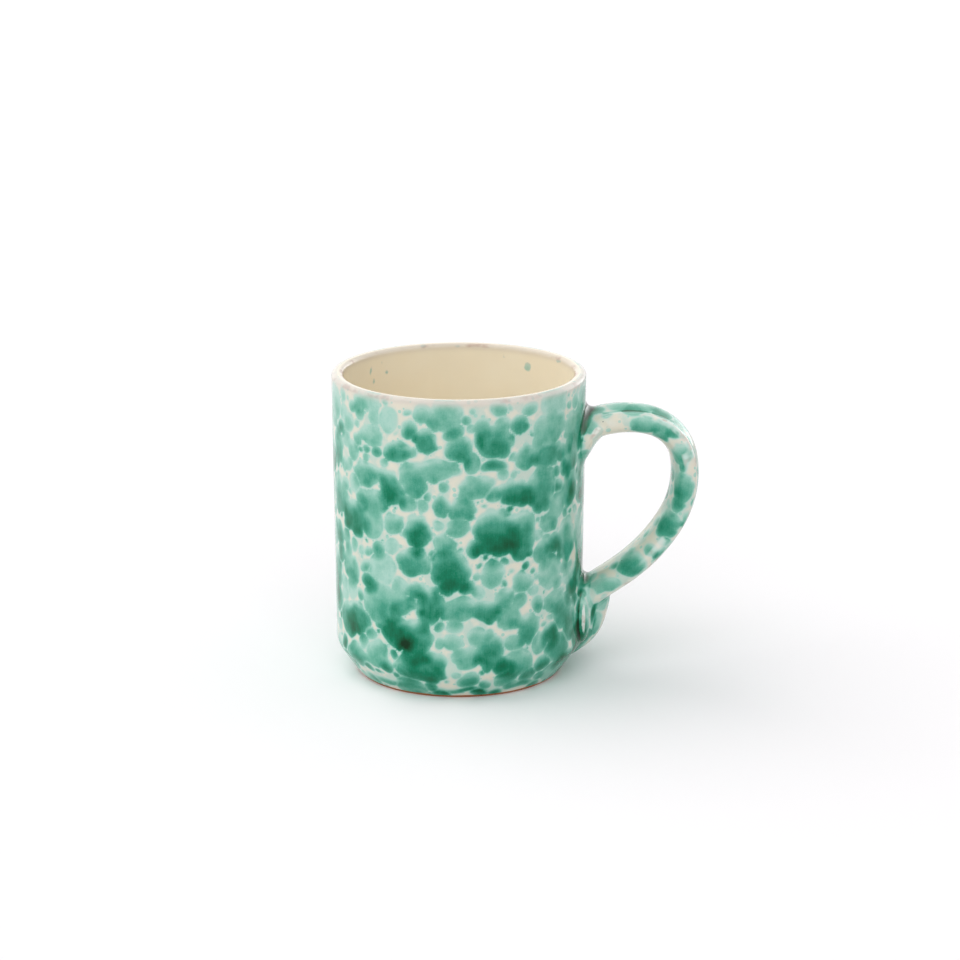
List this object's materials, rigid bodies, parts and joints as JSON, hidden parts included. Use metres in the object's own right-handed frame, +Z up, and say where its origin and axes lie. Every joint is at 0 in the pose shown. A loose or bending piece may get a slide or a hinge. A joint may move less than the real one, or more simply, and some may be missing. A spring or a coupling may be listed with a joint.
{
  "type": "mug",
  "caption": "Straight-sided glazed pottery mug with a bevelled foot and a pulled, grooved strap handle pressed onto the wall.",
  "frame": {"origin": "centre of the round base, on the surface it stands on", "axes": "+Z up along the mug's axis, +X towards the handle, +Y to the left of the handle as seen from behind it"},
  "size_m": [0.1156, 0.08, 0.0969],
  "materials": {
    "red_clay": "bare fired red clay",
    "cream_glaze": "glossy cream glaze",
    "green_spatter_glaze": "glossy off-white glaze with green spatter"
  },
  "bodies": {
    "root": {"thrown_body": "red_clay", "pulled_handle": "red_clay", "upper_joint_slip": "red_clay", "lower_joint_slip": "red_clay", "liner_glaze": "cream_glaze", "outer_glaze": "green_spatter_glaze", "handle_glaze": "green_spatter_glaze"}
  },
  "joints": []
}
